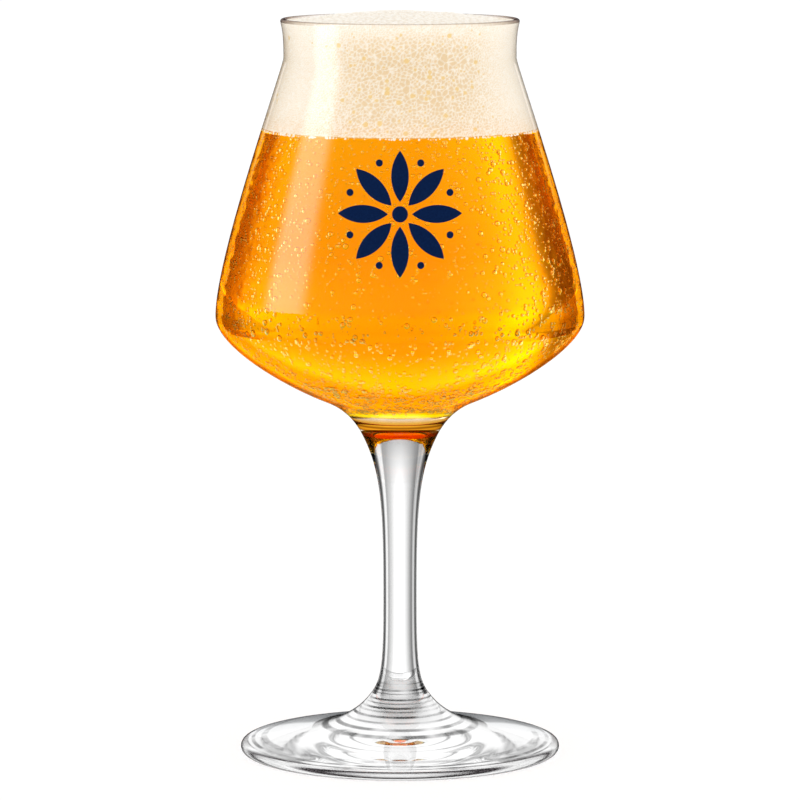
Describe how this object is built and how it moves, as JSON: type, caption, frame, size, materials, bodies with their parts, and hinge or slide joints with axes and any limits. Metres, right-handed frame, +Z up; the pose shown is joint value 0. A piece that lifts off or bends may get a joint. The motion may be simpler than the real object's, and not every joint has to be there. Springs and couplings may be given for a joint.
{
  "type": "stemmed beer glass",
  "caption": "Stemmed tasting glass with an angular tulip bowl, a slim stem and a round foot, poured with amber beer under a head of foam; held by the stem.",
  "frame": {"origin": "middle of the foot on the plane it stands on", "axes": "+Z up along the glass's axis; -Y towards the viewer, the side with the printed motif"},
  "size_m": [0.095, 0.095, 0.1924],
  "materials": {
    "bowl_glass": "fire-polished clear glass",
    "stem_glass": "drawn clear glass",
    "foot_glass": "pressed clear glass",
    "enamel_print": "fired navy enamel",
    "beer": "clear amber liquid",
    "foam": "cream foam"
  },
  "bodies": {
    "root": {"bowl": "bowl_glass", "stem": "stem_glass", "foot": "foot_glass", "printed_motif": "enamel_print", "beer": "beer", "foam_head": "foam"}
  },
  "joints": []
}
